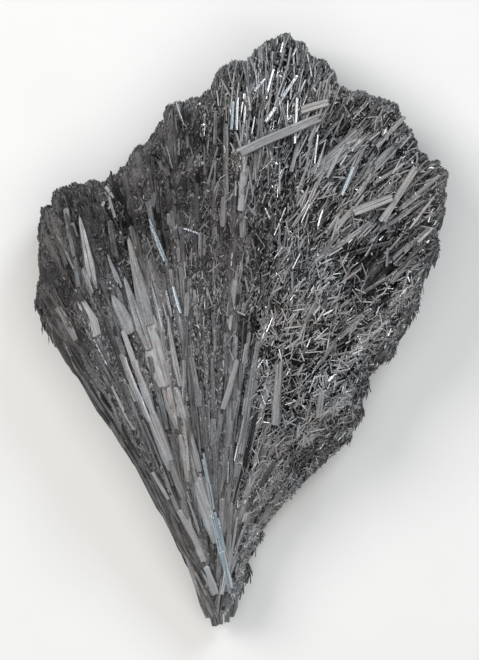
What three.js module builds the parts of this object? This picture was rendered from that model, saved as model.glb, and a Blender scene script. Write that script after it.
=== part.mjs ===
// Stibnite crystal spray: a fan of long, flattened metallic crystals that grew outwards from one root.
// It lies on its flat back with the root at -Y, the fan's ends at +Y and the open face up.
// Millimetres, +Z up. The origin is under the middle of the object, on the surface that it rests on.
import * as THREE from "three";

// ---- Driving dimensions ----
const ROOT = new THREE.Vector2(-3.4, -44.8); // the very tip, where the oldest crystals start
const ROOT_WIDTH = 3.4; // the younger crystals start side by side across this width,
const ROOT_SETBACK = 1.9; // this far in from the tip
const AXIS_DEG = 5; // the fan's growth axis, clockwise from +Y
const ROOT_HEIGHT = 5.5; // top of the root above the resting surface
const BODY_HEIGHT = 21; // top of the fan where it is thickest
const SWELL = 44; // distance from the root over which the body gains its full height
const EDGE_SHARE = 0.42; // height of the widest line of the side, as a share of the body's height
const FOOT_WIDTH = 7; // how far the underside curls in from the edge before it is flat
const RIB_COUNT = 44; // fused columns of crystals across the fan
const ROW_SHARES = [0, 0.09, 0.2, 0.32, 0.44, 0.56, 0.67, 0.77, 0.85, 0.91, 0.955, 0.985, 1];
const RIB_RELIEF = 1.1; // most that one column stands above the next
const VALLEY_DEPTH = 0.7; // groove between two columns
const BLADE_SHARE = 0.45; // share of the columns that carry a blade standing above the rest
const BLADE_RISE = 1.5; // most that such a blade stands up
const END_STAGGER = 0.9; // how unevenly neighbouring columns end
const WAIST_STAGGER = 0.26; // how unevenly high their widest points are
const EDGE_BOW = 4.2; // twice as far as the left edge bows inwards between the root and the shoulder
const REST_FROM = 0.32; // the columns between these two shares of the rim make one flat face to rest on
const REST_TO = 0.46;
const REST_GAP = 0.3; // clearance under a crystal that lies loose on the spray

// Where the crystals end, from the left shoulder over the top and down the right side to the root.
const RIM = [
  [-30.7, 1.6], [-31.1, 5.4], [-30.8, 9], [-30.8, 14], [-30.2, 18], [-28.4, 20.8], [-25, 22.4], [-21.3, 22.8],
  [-18.5, 24.3], [-16, 27], [-13.5, 29.8], [-11.8, 33], [-9.7, 34.8], [-6.9, 35.2], [-4.4, 37.2],
  [-3.1, 39.9], [-0.5, 41.2], [1.9, 41.6], [3.7, 43.7], [6, 44.9], [8.4, 44.1], [10.8, 42],
  [13.2, 40], [14.6, 37.6], [16.9, 36.2], [20.3, 35.5], [23.3, 34], [25.3, 31.2], [26.5, 27.8],
  [28.1, 26.3], [30.2, 25.1], [31, 22.7], [30.7, 18.9], [29.8, 15.2], [29.6, 11.2], [27.8, 8.4],
  [26.8, 4.9], [25.3, 1.3], [23.7, -1.6], [21.5, -3.7], [19.4, -7.2], [19, -11.2], [17.6, -15],
  [15.1, -17.4], [11.5, -19.1], [8.6, -21.9], [6.2, -24.6], [4.2, -27.6], [3, -30.5], [1.9, -34], [0.7, -37.8], [-0.9, -41.4],
];

// ---- Small tools ----
const clamp01 = (v) => Math.min(1, Math.max(0, v));
const smooth = (low, high, v) => {
  const s = clamp01((v - low) / (high - low));
  return s * s * (3 - 2 * s);
};
const mix = (a, b, share) => a + (b - a) * share;

// A repeatable stream of numbers from 0 to 1.
function stream(seed) {
  let state = seed;
  return () => {
    state = (state * 1664525 + 1013904223) % 4294967296;
    return state / 4294967296;
  };
}

function indexedGeometry(points, index) {
  const geometry = new THREE.BufferGeometry();
  geometry.setAttribute("position", new THREE.Float32BufferAttribute(points, 3));
  geometry.setIndex(index);
  geometry.computeVertexNormals();
  return geometry;
}

// A bowl-shaped hollow, longer along its lean (in degrees clockwise from +Y) than across it.
const hollow = (x, y, cx, cy, leanDeg, long, wide, depth) => {
  const lean = THREE.MathUtils.degToRad(leanDeg);
  const along = (x - cx) * Math.sin(lean) + (y - cy) * Math.cos(lean);
  const across = (x - cx) * Math.cos(lean) - (y - cy) * Math.sin(lean);
  return depth * Math.exp(-((along / long) ** 2) - (across / wide) ** 2);
};

// ---- Plan: the rim, and the path that a crystal takes to it ----
const rimCurve = new THREE.CatmullRomCurve3(
  RIM.map(([x, y]) => new THREE.Vector3(x, y, 0)), false, "centripetal",
);
rimCurve.arcLengthDivisions = 1200;
const rimAt = (share) => {
  const p = rimCurve.getPointAt(clamp01(share));
  return new THREE.Vector2(p.x, p.y);
};
const axisRad = THREE.MathUtils.degToRad(AXIS_DEG);
const growth = new THREE.Vector2(Math.sin(axisRad), Math.cos(axisRad));
const startAt = (share) => {
  const start = growth.clone().multiplyScalar(ROOT_SETBACK).add(ROOT);
  start.x += ROOT_WIDTH * (share - 0.5);
  return start;
};

// Crystals on the left run straight from the root, except that those at the edge bow inwards; those on the
// right leave the axis like a feather's barbs.
function growthPath(share) {
  const start = startAt(share);
  const end = rimAt(share);
  const reach = end.clone().sub(ROOT);
  const angle = THREE.MathUtils.radToDeg(Math.atan2(reach.x, reach.y));
  const barb = growth.clone().multiplyScalar((0.7 - 0.0105 * angle) * reach.length()).add(ROOT);
  const straight = start.clone().lerp(end, 0.5);
  straight.x += EDGE_BOW * (1 - smooth(0, 0.2, share));
  return new THREE.QuadraticBezierCurve(start, straight.lerp(barb, smooth(0, 14, angle)), end);
}

const outline = [
  startAt(1), ROOT, ...growthPath(0).getPoints(24).slice(0, -1),
  ...Array.from({ length: 241 }, (_, i) => rimAt(i / 240)),
];

function edgeDistance(x, y) {
  let best = Infinity;
  for (let i = 0; i < outline.length; i++) {
    const a = outline[i];
    const b = outline[(i + 1) % outline.length];
    const dx = b.x - a.x;
    const dy = b.y - a.y;
    const s = clamp01(((x - a.x) * dx + (y - a.y) * dy) / (dx * dx + dy * dy));
    best = Math.min(best, Math.hypot(x - a.x - s * dx, y - a.y - s * dy));
  }
  return best;
}

// ---- Section: the height of the open face, the side's widest line and the underside ----
function crestHeight(x, y) {
  const out = Math.hypot(x - ROOT.x, y - ROOT.y);
  const base = mix(ROOT_HEIGHT, BODY_HEIGHT, smooth(-SWELL * 0.35, SWELL, out));
  const right = smooth(-1, 3, x - ROOT.x - 0.09 * out); // right of the line where the two halves meet
  const step = 2.6 * right * smooth(4, 12, out) * (1 - smooth(38, 56, out));
  const leftCrest = 1.4 * Math.exp(-(((x + 12 - 0.16 * (y + 20)) / 9) ** 2)) * smooth(20, 40, out);
  const rightCrest = 1.6 * smooth(12, 28, x) * smooth(8, 24, y);
  const hollows =
    hollow(x, y, 20, 6, 47, 7, 2.6, 2.4) +
    hollow(x, y, 18, -10.5, 50, 3.5, 1.5, 2.2) +
    hollow(x, y, -17, 17, -8, 5, 1.1, 1.4) +
    hollow(x, y, -7, 22, 0, 6, 5, 1.2) +
    hollow(x, y, 6, -8, 10, 9, 4, 0.9);
  const tipFall = 3 * smooth(34, 46, y);
  return base - step + leftCrest + rightCrest - hollows - tipFall;
}

// The left side slopes widely, the upper right stands nearly square, the lower right is in between.
function bevelWidth(x, y) {
  const left = 1 - smooth(-22, -4, x - 0.25 * y);
  const lowRight = (1 - smooth(-14, 8, y)) * smooth(-2, 6, x);
  return 2.2 + 3.4 * left + 2.4 * lowRight;
}

const quarter = (share) => Math.sqrt(1 - (1 - clamp01(share)) ** 2);
const faceAt = (x, y, edge, waist) => {
  const crest = crestHeight(x, y);
  return mix(crest * waist, crest, quarter(edge / bevelWidth(x, y)) ** 0.9);
};
const underAt = (x, y, edge, waist) => crestHeight(x, y) * waist * (1 - quarter(edge / FOOT_WIDTH));

// ---- The body: columns of crystals, each a flat strip of its own height, between grooves ----
// A column is a list of edges: the groove before it, then its left and its right edge.
function column(next, start, end) {
  const wall = (end - start) * 0.13;
  const rise = RIB_RELIEF * next();
  const tilt = 0.35 * (next() - 0.5);
  const short = END_STAGGER * (next() - 0.45);
  const resting = start > REST_FROM && end < REST_TO;
  const foot = resting || next() < 0.6 ? 0 : 0.5 * next();
  const waist = EDGE_SHARE + WAIST_STAGGER * (next() - 0.5);
  const height = next() < BLADE_SHARE ? BLADE_RISE * mix(0.4, 1, next()) : 0;
  const blade = { from: mix(0.1, 0.65, next()), to: mix(0.72, 1.1, next()), height };
  const flat = { from: 0, to: 1, height: 0 };
  const groove = { rise: -VALLEY_DEPTH, short: short + 0.8, foot: resting ? 0 : 0.9, waist, blade: flat };
  return [
    { at: start, ...groove },
    { at: start + wall, rise: rise + tilt, short, foot, waist, blade },
    { at: end - wall, rise: rise - tilt, short, foot, waist, blade },
  ];
}

function bodyColumns() {
  const next = stream(41);
  const widths = Array.from({ length: RIB_COUNT }, () => 0.55 + next());
  const total = widths.reduce((sum, w) => sum + w, 0);
  const columns = [];
  let start = 0;
  for (const width of widths) {
    columns.push(...column(next, start, start + width / total));
    start += width / total;
  }
  columns.shift();
  columns[0].at = 0;
  columns[columns.length - 1].at = 1;
  return columns;
}

// How far a column's blade stands up at a share of its length: it slopes up slowly and ends in a step.
const bladeHeight = ({ from, to, height }, share) =>
  height * smooth(from, from + 0.14, share) * (1 - smooth(to - 0.05, to, share));

function bodyGeometry() {
  const columns = bodyColumns();
  const last = columns.length - 1;
  const points = [ROOT.x, ROOT.y + 0.2, ROOT_HEIGHT * 0.5];
  const face = [];
  const under = [];
  const add = (x, y, z) => points.push(x, y, z) / 3 - 1;
  columns.forEach((edgeLine, c) => {
    const path = growthPath(edgeLine.at);
    const onFlank = c === 0 || c === last;
    const short = onFlank ? 0 : edgeLine.short / path.getLength();
    face.push([]);
    under.push([]);
    ROW_SHARES.forEach((share, r) => {
      const p = path.getPoint(share * (1 - short * smooth(0.6, 1, share)));
      const onEdge = onFlank || r === ROW_SHARES.length - 1;
      const edge = onEdge ? 0 : edgeDistance(p.x, p.y);
      const relief = smooth(0, 2.2, edge) * smooth(2, 22, share * path.getLength());
      const rise = edgeLine.rise + bladeHeight(edgeLine.blade, share);
      const top = add(p.x, p.y, faceAt(p.x, p.y, edge, edgeLine.waist) + rise * relief);
      face[c].push(top);
      const low = underAt(p.x, p.y, edge, edgeLine.waist) + edgeLine.foot * relief;
      under[c].push(onEdge ? top : add(p.x, p.y, low));
    });
  });
  const index = [];
  for (let c = 0; c < last; c++) {
    index.push(0, face[c + 1][0], face[c][0], 0, under[c][0], under[c + 1][0]);
    for (let r = 0; r < ROW_SHARES.length - 1; r++) {
      const [a, b, d, e] = [face[c][r], face[c + 1][r], face[c + 1][r + 1], face[c][r + 1]];
      index.push(a, b, d, a, d, e);
      const [f, g, h, i] = [under[c][r], under[c + 1][r], under[c + 1][r + 1], under[c][r + 1]];
      index.push(f, h, g, f, i, h);
    }
  }
  return indexedGeometry(points, index);
}

// ---- One crystal: a flattened six-sided prism that tapers to a blunt wedge at each end ----
// Each station is { centre, side, up, width, thick }.
function crystalGeometry(stations) {
  const section = [[-0.5, 0], [-0.32, 0.5], [0.3, 0.5], [0.5, 0.05], [0.34, -0.5], [-0.3, -0.5]];
  const points = [];
  for (const { centre, side, up, width, thick } of stations) {
    for (const [across, high] of section) {
      const p = centre.clone().addScaledVector(side, across * width).addScaledVector(up, high * thick);
      points.push(p.x, p.y, p.z);
    }
  }
  const n = section.length;
  const index = [];
  for (let s = 0; s < stations.length - 1; s++) {
    for (let k = 0; k < n; k++) {
      const a = s * n + k;
      const b = s * n + ((k + 1) % n);
      index.push(a, b, a + n, b, b + n, a + n);
    }
  }
  const far = (stations.length - 1) * n;
  for (let k = 1; k < n - 1; k++) index.push(0, k + 1, k, far, far + k, far + k + 1);
  return indexedGeometry(points, index);
}

// Crystals that lie loose across the grain: two ends in plan, width and thickness.
const LOOSE = {
  long_cross_lath: { from: [-0.8, 25.7], to: [12.1, 31.4], width: 1.25, thick: 0.9 },
  short_cross_lath: { from: [8.8, 32.3], to: [12.9, 33.5], width: 1, thick: 0.8 },
  slender_cross_lath: { from: [3.4, 30.2], to: [8.5, 37.8], width: 0.6, thick: 0.6 },
  right_cross_lath: { from: [16.4, 17.1], to: [22.3, 19.4], width: 1, thick: 0.8 },
  steep_cross_lath: { from: [20.6, 15.4], to: [26, 24], width: 1.05, thick: 0.8 },
  middle_upright_lath: { from: [5, -14.8], to: [5.7, -4.6], width: 1, thick: 0.8 },
  lower_upright_lath: { from: [11.6, -13.2], to: [12, -9.4], width: 0.8, thick: 0.7 },
};

const sprayGeometry = bodyGeometry();

// ---- Loose crystals: each rests on the two highest points that straddle its middle ----
const probeMaterial = new THREE.MeshBasicMaterial({ side: THREE.DoubleSide });
const placed = [new THREE.Mesh(sprayGeometry, probeMaterial)];
const ray = new THREE.Raycaster();
const DOWN = new THREE.Vector3(0, 0, -1);
function surfaceHeight(x, y) {
  ray.set(new THREE.Vector3(x, y, 100), DOWN);
  const hits = ray.intersectObjects(placed);
  return hits.length ? hits[0].point.z : 0;
}

function looseCrystal({ from, to, width, thick }) {
  const a = new THREE.Vector2(...from);
  const b = new THREE.Vector2(...to);
  const along = b.clone().sub(a).normalize();
  const side2 = new THREE.Vector2(along.y, -along.x);
  const steps = Math.ceil(a.distanceTo(b) / 0.15);
  const heights = Array.from({ length: steps + 1 }, (_, i) => {
    const p = a.clone().lerp(b, i / steps);
    return Math.max(...[-0.5, -0.25, 0, 0.25, 0.5].map((across) =>
      surfaceHeight(p.x + side2.x * across * width, p.y + side2.y * across * width)));
  });
  let rest = { score: -Infinity };
  for (let i = 0; i < steps / 2; i++) {
    for (let j = Math.ceil(steps / 2); j <= steps; j++) {
      if (j === i) continue;
      const middle = mix(heights[i], heights[j], (steps / 2 - i) / (j - i));
      if (middle > rest.score) rest = { score: middle, i, j };
    }
  }
  const lineAt = (s) => mix(heights[rest.i], heights[rest.j], (s * steps - rest.i) / (rest.j - rest.i));
  const direction = new THREE.Vector3(b.x - a.x, b.y - a.y, lineAt(1) - lineAt(0)).normalize();
  const side = new THREE.Vector3(side2.x, side2.y, 0);
  const up = new THREE.Vector3().crossVectors(side, direction).normalize();
  const lift = (REST_GAP + 0.5 * thick) / up.z;
  const stations = [0, 0.1, 0.9, 1].map((s, i) => {
    const taper = [0.5, 1, 0.95, 0.45][i];
    const centre = new THREE.Vector3(mix(a.x, b.x, s), mix(a.y, b.y, s), lineAt(s) + lift);
    return { centre, side, up, width: width * taper, thick: thick * taper };
  });
  return crystalGeometry(stations);
}

// ---- The scene graph ----
const stibnite = new THREE.MeshStandardMaterial({ color: 0x6e7074, roughness: 0.38, metalness: 0.85 });
const brightStibnite = new THREE.MeshStandardMaterial({ color: 0x8d9093, roughness: 0.28, metalness: 0.9 });

const spray = new THREE.Group();
const piece = (name, geometry, material) => {
  const mesh = new THREE.Mesh(geometry, material);
  mesh.name = name;
  spray.add(mesh);
};
piece("crystal_spray", sprayGeometry, stibnite);
for (const [name, crystal] of Object.entries(LOOSE)) {
  const geometry = looseCrystal(crystal);
  placed.push(new THREE.Mesh(geometry, probeMaterial));
  piece(name, geometry, brightStibnite);
}

// The origin goes under the middle of the whole object, at the level of its resting face.
const box = new THREE.Box3().setFromObject(spray);
const middle = box.getCenter(new THREE.Vector3());
spray.position.set(-middle.x, -middle.y, -box.min.z);

export default spray;
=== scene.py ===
import bpy
import numpy as np
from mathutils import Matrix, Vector


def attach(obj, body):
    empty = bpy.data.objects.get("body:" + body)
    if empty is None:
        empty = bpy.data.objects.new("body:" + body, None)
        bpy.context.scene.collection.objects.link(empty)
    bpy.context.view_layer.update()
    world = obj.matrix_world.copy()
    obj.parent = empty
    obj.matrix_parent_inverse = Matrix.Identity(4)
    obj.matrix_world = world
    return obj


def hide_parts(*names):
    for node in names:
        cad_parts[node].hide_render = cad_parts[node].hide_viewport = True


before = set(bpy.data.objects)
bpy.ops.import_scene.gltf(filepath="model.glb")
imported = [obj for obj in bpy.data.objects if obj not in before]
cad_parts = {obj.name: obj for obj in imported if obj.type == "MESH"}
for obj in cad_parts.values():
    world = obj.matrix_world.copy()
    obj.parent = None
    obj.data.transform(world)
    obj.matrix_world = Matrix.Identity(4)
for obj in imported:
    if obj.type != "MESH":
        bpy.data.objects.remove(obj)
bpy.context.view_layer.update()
scene = bpy.context.scene

# ---- Camera, floor and light ----
# The spray lies on its back and is looked at from straight above, with a long lens.
# A wide soft light stands over it to the left, and a cooler, weaker one to the upper right.
EYE_HEIGHT = 0.46
MIDDLE_HEIGHT = 0.014  # about half the spray's height
VIEW_HEIGHT = 0.0995  # how much the upright view takes in at that height

eye = bpy.data.objects.new("eye", bpy.data.cameras.new("eye"))
eye.location = (-0.0003, 0, EYE_HEIGHT)
eye.data.sensor_fit = "VERTICAL"
eye.data.lens = eye.data.sensor_height * (EYE_HEIGHT - MIDDLE_HEIGHT) / VIEW_HEIGHT
eye.data.clip_start = 0.01
scene.collection.objects.link(eye)
scene.camera = eye


def soft_light(name, place, size, watts, colour):
    light = bpy.data.lights.new(name, "AREA")
    light.size = size
    light.energy = watts
    light.color = colour
    lamp = bpy.data.objects.new(name, light)
    lamp.location = place
    lamp.rotation_euler = (-Vector(place)).to_track_quat("-Z", "Y").to_euler()
    scene.collection.objects.link(lamp)


soft_light("key_light", (-0.40, 0.26, 0.52), 0.34, 2.6, (1.0, 0.985, 0.965))
soft_light("sky_light", (0.30, 0.44, 0.50), 0.22, 1.7, (0.82, 0.91, 1.0))
soft_light("top_light", (0.06, -0.10, 0.85), 0.8, 4.6, (1.0, 0.99, 0.975))
scene.world = bpy.data.worlds.new("studio")
scene.world.use_nodes = True
backdrop = scene.world.node_tree.nodes["Background"].inputs
backdrop["Color"].default_value = (0.95, 0.96, 1.0, 1)
backdrop["Strength"].default_value = 0.13
scene.view_settings.view_transform = "Standard"


class Value:
    """One output of a material's nodes. Arithmetic on it adds Math nodes."""

    def __init__(self, finish, socket):
        self.finish = finish
        self.socket = socket

    def _math(self, operation, first, second):
        return self.finish.node("ShaderNodeMath", {"operation": operation}, {0: first, 1: second})

    def __add__(self, other):
        return self._math("ADD", self, other)

    def __sub__(self, other):
        return self._math("SUBTRACT", self, other)

    def __rsub__(self, other):
        return self._math("SUBTRACT", other, self)

    def __mul__(self, other):
        return self._math("MULTIPLY", self, other)

    __radd__ = __add__
    __rmul__ = __mul__

    def between(self, low, high):
        """0 below low, 1 above high and smooth in between."""
        settings = {"interpolation_type": "SMOOTHSTEP"}
        sockets = {"Value": self, "From Min": low, "From Max": high}
        return self.finish.node("ShaderNodeMapRange", settings, sockets)


class Finish:
    """A material and the ways of adding nodes to it."""

    def __init__(self, name):
        self.material = bpy.data.materials.new(name)
        self.material.use_nodes = True
        self.tree = self.material.node_tree
        self.shader = self.tree.nodes["Principled BSDF"]

    def node(self, kind, settings, sockets, output=0):
        made = self.tree.nodes.new(kind)
        for key, value in settings.items():
            setattr(made, key, value)
        for key, value in sockets.items():
            self.feed(made.inputs[key], value)
        return Value(self, made.outputs[output])

    def feed(self, target, value):
        if isinstance(value, Value):
            self.tree.links.new(value.socket, target)
        else:
            target.default_value = value

    def set(self, name, value):
        """One input of the shader itself."""
        self.feed(self.shader.inputs[name], value)

    def blend(self, share, first, second):
        """A colour from first to second."""
        sockets = {0: share, 6: first, 7: second}
        return self.node("ShaderNodeMix", {"data_type": "RGBA"}, sockets, output=2)

    def carried(self, name, output=2):
        """What each point of a mesh carries under that name."""
        return self.node("ShaderNodeAttribute", {"attribute_name": name}, {}, output)

    def noise(self, where, scale, detail=2.0, rough=0.5):
        sockets = {"Vector": where, "Scale": scale, "Detail": detail, "Roughness": rough}
        return self.node("ShaderNodeTexNoise", {}, sockets)


table = Finish("pale_table")
grain = table.noise(table.node("ShaderNodeTexCoord", {}, {}, output=3), 60.0)
pale = table.blend(grain, (0.78, 0.775, 0.76, 1), (0.82, 0.815, 0.8, 1))
table.set("Base Color", pale)
table.set("Roughness", 0.7)
HALF_TABLE = 1.5
table_corners = [(HALF_TABLE * x, HALF_TABLE * y, 0) for x, y in ((-1, -1), (1, -1), (1, 1), (-1, 1))]
floor_mesh = bpy.data.meshes.new("floor")
floor_mesh.from_pydata(table_corners, [], [(0, 1, 2, 3)])
floor = bpy.data.objects.new("floor", floor_mesh)
floor.data.materials.append(table.material)
scene.collection.objects.link(floor)

# ---- The finish of stibnite ----
# Antimony sulphide: lead-grey, metallic and striated along each crystal, brighter where a face is fresh,
# with a dull brownish film where it has tarnished, and a painted blue-white sheen, a painted reflection, in
# streaks and where the film is below 0. Each crystal brings its own tone, film and grain; the tones of many
# crystals also carry painted light and shade.
stibnite = Finish("stibnite")
tone = stibnite.carried("tone")
film = stibnite.carried("film")
along_grain = stibnite.carried("grain", output=1)
place = stibnite.node("ShaderNodeTexCoord", {}, {}, output=3)
stretch = {0: along_grain, 1: (5.0, 0.3, 1.0)}
drawn_out = stibnite.node("ShaderNodeVectorMath", {"operation": "MULTIPLY"}, stretch)
striae = stibnite.noise(drawn_out, 1.0, 3.0, 0.6)
patches = stibnite.noise(place, 420.0, 3.0, 0.6)
dust = stibnite.noise(place, 3800.0, 2.0, 0.6)
filmed = film + 0.4 * patches - 0.2 + 0.3 * dust - 0.15
wide_patches = stibnite.noise(place, 130.0, 2.0, 0.6)
cool_grey, warm_grey = (0.374, 0.376, 0.39, 1), (0.396, 0.38, 0.371, 1)
matte = stibnite.blend(wide_patches.between(0.4, 0.6), cool_grey, warm_grey)
fresh = stibnite.blend(filmed.between(-0.1, 0.35), (0.62, 0.64, 0.66, 1), matte)
plum_crust, brown_crust = (0.138, 0.126, 0.136, 1), (0.186, 0.166, 0.156, 1)
crusted = stibnite.blend(patches.between(0.35, 0.65), plum_crust, brown_crust)
skin = stibnite.blend(filmed.between(0.5, 1.05), fresh, crusted)
# A film below 0 gets a painted blue-white sheen, a painted reflection of a cool, bright light. Fainter
# painted streaks of it run along the rest, stronger where the film is thin.
painted_sheen = (-1.0 * film).between(0.02, 0.3)
painted_sheen_streaks = stibnite.noise(along_grain, 0.35, 1.0).between(0.58, 0.7) * (0.4 - 0.4 * film)
skin = stibnite.blend(painted_sheen + painted_sheen_streaks, skin, (0.58, 0.68, 0.74, 1))
lightness = (tone + 0.75 * striae + 0.5 * dust - 0.625).between(0.0, 1.0)
skin = stibnite.blend(lightness, (0.01, 0.01, 0.011, 1), skin)
stibnite.set("Base Color", skin)
# Where the film is below 0 the metal is turned down, so that the painted sheen shows as colour.
metallic = 0.92 - 0.76 * filmed.between(-0.05, 0.4) - 0.35 * (-1.0 * film).between(0.08, 0.25)
stibnite.set("Metallic", metallic)
stibnite.set("Roughness", 0.22 + 0.34 * filmed.between(0.0, 0.5) + 0.12 * striae)
relief = {"Strength": 0.6, "Distance": 0.00008, "Height": striae + 0.9 * dust}
stibnite.set("Normal", stibnite.node("ShaderNodeBump", {}, relief))

# ---- The fan's shape ----
# All crystals start side by side at the blunt root and run out to the rim: straight on the left, and on
# the right like a feather's barbs that leave the axis. All lengths from here on are in millimetres.
rim_points = np.array([
    (-30.7, 1.6), (-31.1, 5.4), (-30.8, 9), (-30.8, 14), (-30.2, 18), (-28.4, 20.8), (-25, 22.4),
    (-21.3, 22.8), (-18.5, 24.3), (-16, 27), (-13.5, 29.8), (-11.8, 33), (-9.7, 34.8), (-6.9, 35.2),
    (-4.4, 37.2), (-3.1, 39.9), (-0.5, 41.2), (1.9, 41.6), (3.7, 43.7), (6, 44.9), (8.4, 44.1), (10.8, 42),
    (13.2, 40), (14.6, 37.6), (16.9, 36.2), (20.3, 35.5), (23.3, 34), (25.3, 31.2), (26.5, 27.8),
    (28.1, 26.3), (30.2, 25.1), (31, 22.7), (30.7, 18.9), (29.8, 15.2), (29.6, 11.2), (27.8, 8.4),
    (26.8, 4.9), (25.3, 1.3), (23.7, -1.6), (21.5, -3.7), (19.4, -7.2), (19, -11.2), (17.6, -15),
    (15.1, -17.4), (11.5, -19.1), (8.6, -21.9), (6.2, -24.6), (4.2, -27.6), (3, -30.5), (1.9, -34),
    (0.7, -37.8), (-0.9, -41.4),
])  # from the left shoulder over the crown and down the right side
root_tip = np.array((-3.4, -44.8))
growth_axis = np.array((np.sin(np.radians(5)), np.cos(np.radians(5))))
root_width = 3.4
root_setback = 1.9  # the crystals start this far up from the tip
edge_bow = 4.2  # the left edge bows inwards by half of this
waist_share = 0.42  # the fan is widest at this share of its height
foot_width = 7.0  # the underside curves in over this width


def smooth(low, high, value):
    share = np.clip((value - low) / (high - low), 0, 1)
    return share * share * (3 - 2 * share)


def mix(first, second, share):
    return first + (second - first) * share


def blurred(chart, window, mode, axis):
    return np.apply_along_axis(lambda line: np.convolve(line, window, mode), axis, chart)


def lengths_along(line):
    """How far along the line each of its points is."""
    return np.append(0, np.cumsum(np.linalg.norm(np.diff(line, axis=0), axis=1)))


def rounded_line(points, steps):
    """A smooth line through the points."""
    padded = np.vstack([2 * points[0] - points[1], points, 2 * points[-1] - points[-2]])
    before, start, end, after = (padded[i:len(padded) - 3 + i, None] for i in range(4))
    s = np.linspace(0, 1, steps, endpoint=False)[None, :, None]
    line = 0.5 * (
        2 * start + (end - before) * s + (2 * before - 5 * start + 4 * end - after) * s**2
        + (3 * start - before - 3 * end + after) * s**3
    )
    return np.vstack([line.reshape(-1, 2), points[-1]])


rim_line = rounded_line(rim_points, 6)
lumps = np.convolve(np.random.default_rng(2).normal(0, 1, len(rim_line) + 2), (0.3, 0.4, 0.3), "valid")
rim_out = np.gradient(rim_line, axis=0)[:, ::-1] * (-1, 1)
rim_line += 0.5 * lumps[:, None] * rim_out / np.linalg.norm(rim_out, axis=1, keepdims=True)
rim_lengths = lengths_along(rim_line)


def rim_at(u):
    at = np.asarray(u) * rim_lengths[-1]
    return np.stack([np.interp(at, rim_lengths, rim_line[:, k]) for k in range(2)], axis=-1)


def growth_line(u):
    """The start, the bend and the end of the path that a crystal at share u of the rim takes."""
    u = np.asarray(u, float)
    start = root_tip + growth_axis * root_setback + np.stack([root_width * (u - 0.5), 0 * u], -1)
    end = rim_at(u)
    reach = end - root_tip
    angle = np.degrees(np.arctan2(reach[..., 0], reach[..., 1]))
    on_axis = (0.7 - 0.0105 * angle) * np.linalg.norm(reach, axis=-1)
    barb = root_tip + growth_axis * on_axis[..., None]
    share = smooth(0, 14, angle)[..., None]
    straight = (start + end) / 2 + np.stack([edge_bow * (1 - smooth(0, 0.2, u)), 0 * u], -1)
    return start, mix(straight, barb, share), end


def point_at(u, t):
    """The place at share t of the way from the root to the rim, on the crystal at share u of the rim."""
    start, bend, end = growth_line(u)
    t = np.asarray(t)[..., None]
    return (1 - t) ** 2 * start + 2 * t * (1 - t) * bend + t**2 * end


def heading_at(u, t):
    """The way a crystal points there, in radians clockwise from +Y, and the whole path's length."""
    start, bend, end = growth_line(u)
    t = np.asarray(t)[..., None]
    along = 2 * (1 - t) * (bend - start) + 2 * t * (end - bend)
    legs = np.linalg.norm(bend - start, axis=-1) / 2 + np.linalg.norm(end - bend, axis=-1) / 2
    length = legs + np.linalg.norm(end - start, axis=-1) / 2
    return np.arctan2(along[..., 0], along[..., 1]), length


def hollow(x, y, cx, cy, lean, long, wide, depth):
    """A long hollow's depth. It leans that many degrees clockwise from +Y."""
    lean = np.radians(lean)
    along = (x - cx) * np.sin(lean) + (y - cy) * np.cos(lean)
    across = (x - cx) * np.cos(lean) - (y - cy) * np.sin(lean)
    return depth * np.exp(-((along / long) ** 2) - (across / wide) ** 2)


def crest_height(x, y):
    """The open face's height: lower past the step to the right of the ridge, and in the hollows."""
    out = np.hypot(x - root_tip[0], y - root_tip[1])
    base = mix(5.5, 21.0, smooth(-15.4, 44, out))
    right = smooth(-1, 3, x - root_tip[0] - 0.09 * out)
    step = 2.6 * right * smooth(4, 12, out) * (1 - smooth(38, 56, out))
    left_crest = 1.4 * np.exp(-(((x + 12 - 0.16 * (y + 20)) / 9) ** 2)) * smooth(20, 40, out)
    right_crest = 1.6 * smooth(12, 28, x) * smooth(8, 24, y)
    hollows = (
        hollow(x, y, 20, 6, 47, 7, 2.6, 2.4) + hollow(x, y, 18, -10.5, 50, 3.5, 1.5, 2.2)
        + hollow(x, y, -17, 17, -8, 5, 1.1, 1.4) + hollow(x, y, -7, 22, 0, 6, 5, 1.2)
        + hollow(x, y, 6, -8, 10, 9, 4, 0.9)
    )
    return base - step + left_crest + right_crest - hollows - 3 * smooth(34, 46, y)


def bevel_width(x, y):
    """How far in from the edge the open face curves down."""
    left = 1 - smooth(-22, -4, x - 0.25 * y)
    low_right = (1 - smooth(-14, 8, y)) * smooth(-2, 6, x)
    return 2.2 + 3.4 * left + 2.4 * low_right


def quarter(share):
    """A quarter circle's rise from 0 to 1."""
    return np.sqrt(1 - (1 - np.clip(share, 0, 1)) ** 2)


# Dark pockets between the crystals, sunk into the face and darkened with painted shade as well:
# where each is, and its size.
pockets = (
    (4.5, 3.2, 1.1), (14.8, -1.4, 1.3), (16.8, -7.8, 1.9), (12.4, -13.8, 1.3), (6.5, -11.5, 1.6),
    (7.8, -19.5, 2), (9, 8.5, 1), (-11.5, -27, 1.2), (3.2, -3.5, 1), (10.5, -6, 1),
    (21.5, 2.5, 1.2), (8, 28, 1.2), (13, 32.5, 1.3), (2, 31.5, 1), (21, 26, 1.3),
    (-4, 27, 1.6), (-9, 29, 1.5), (17, 11.5, 1.5),
)


def pocket_at(x, y):
    return sum(np.exp(-((x - px) ** 2 + (y - py) ** 2) / size**2) for px, py, size in pockets)


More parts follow.
